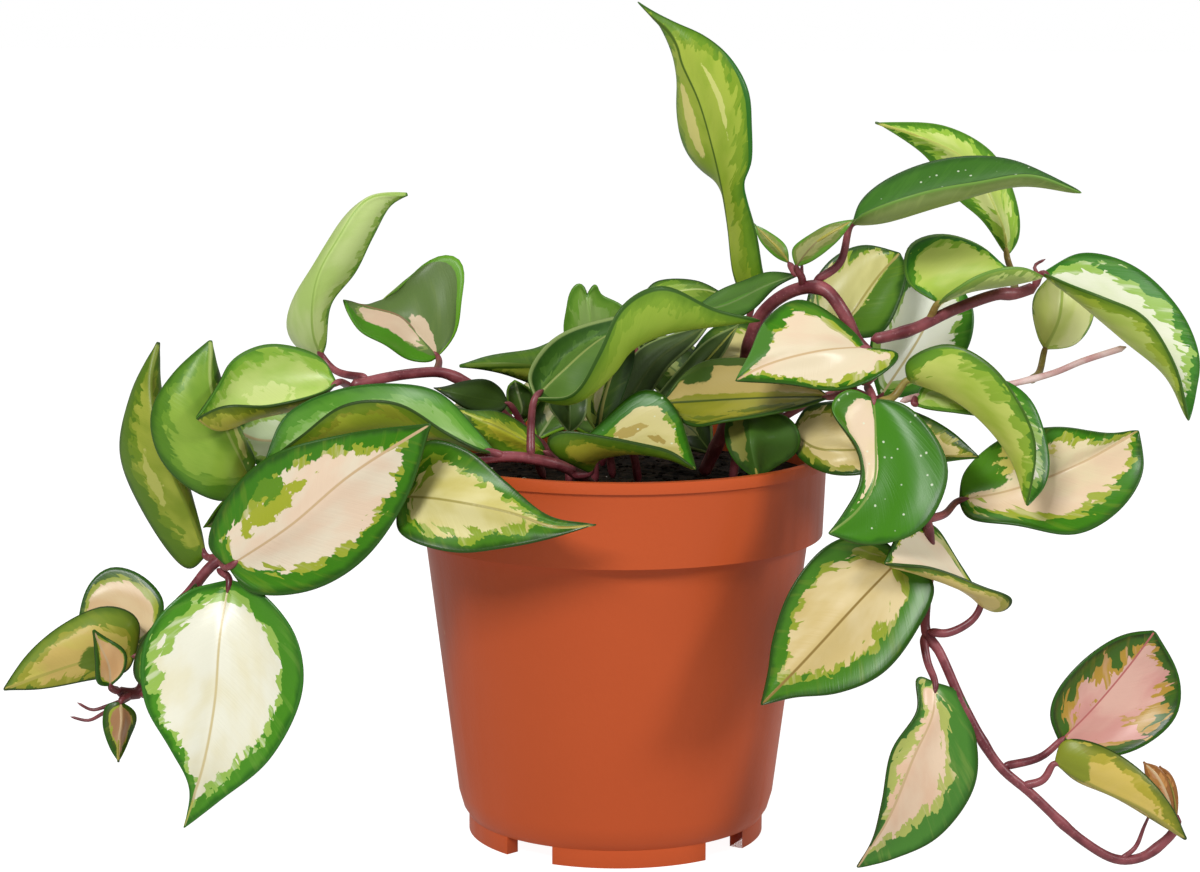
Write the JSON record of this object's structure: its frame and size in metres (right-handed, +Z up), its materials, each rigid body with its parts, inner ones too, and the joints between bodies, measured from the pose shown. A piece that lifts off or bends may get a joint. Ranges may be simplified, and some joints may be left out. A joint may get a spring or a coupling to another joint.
{
  "type": "potted hoya plant",
  "caption": "Trailing hoya with arching stems and pointed waxy leaves, cream and pink edged with green, growing in a terracotta-coloured plastic nursery pot.",
  "frame": {"origin": "on the floor, under the middle of the whole plant's outline seen from above; the pot's axis stands 3.5 mm to +X and 7.8 mm to +Y of it", "axes": "+Z up, +X to the right and +Y away from the viewer when the pot's front, where most leaves hang, faces the viewer"},
  "size_m": [0.3262, 0.1357, 0.2345],
  "materials": {
    "pot_plastic": "satin",
    "soil": "matte",
    "stem": "satin",
    "leaf_green": "satin",
    "leaf_olive": "satin",
    "leaf_cream": "satin",
    "leaf_pink": "satin"
  },
  "bodies": {
    "root": {"pot": "pot_plastic", "soil": "soil", "vine_left": "stem", "vine_left_upper": "stem", "vine_centre": "stem", "vine_right_upper": "stem", "shoot_right": "stem", "vine_right_low": "stem", "leaf_left_outer": "leaf_olive", "leaf_left_cupped": "leaf_green", "leaf_left_pale": "leaf_green", "leaf_left_tall": "leaf_green", "leaf_left_open": "leaf_green", "leaf_left_arching": "leaf_green", "leaf_left_big_pink": "leaf_pink", "leaf_left_cream": "leaf_cream", "leaf_left_big_white": "leaf_cream", "leaf_left_low_beige": "leaf_pink", "leaf_left_low_olive": "leaf_olive", "leaf_left_young_pink": "leaf_pink", "leaf_left_young_low": "leaf_pink", "leaf_left_strip": "leaf_olive", "leaf_left_back_bit": "leaf_green", "leaf_left_back_pale": "leaf_cream", "leaf_mid_left_point": "leaf_green", "leaf_mid_jagged": "leaf_green", "leaf_mid_big": "leaf_green", "leaf_mid_curled": "leaf_green", "leaf_mid_standing": "leaf_cream", "leaf_mid_dark_a": "leaf_green", "leaf_mid_dark_b": "leaf_green", "leaf_mid_olive_end": "leaf_olive", "leaf_mid_yellow": "leaf_olive", "leaf_mid_short_dark": "leaf_green", "leaf_mid_pink": "leaf_pink", "leaf_mid_long_olive": "leaf_olive", "leaf_mid_cream_back": "leaf_cream", "leaf_mid_green_tip": "leaf_green", "leaf_mid_back_top": "leaf_green", "leaf_tall": "leaf_green", "leaf_mid_small_dark": "leaf_green", "leaf_right_yellow": "leaf_cream", "leaf_right_hanging": "leaf_green", "leaf_right_back_cream": "leaf_cream", "leaf_right_back_white": "leaf_cream", "leaf_right_top_small_a": "leaf_green", "leaf_right_top_small_b": "leaf_green", "leaf_right_upper": "leaf_green", "leaf_right_long_top": "leaf_green", "leaf_right_curled": "leaf_green", "leaf_right_arching": "leaf_green", "leaf_right_behind": "leaf_olive", "leaf_right_green_pink": "leaf_green", "leaf_right_under_strip": "leaf_green", "leaf_right_pink_cream": "leaf_pink", "leaf_right_pink_lobe": "leaf_pink", "leaf_right_big_cream": "leaf_cream", "leaf_right_low_long": "leaf_pink", "leaf_right_low_pink": "leaf_pink", "leaf_right_low_yellow": "leaf_olive"}
  },
  "joints": []
}
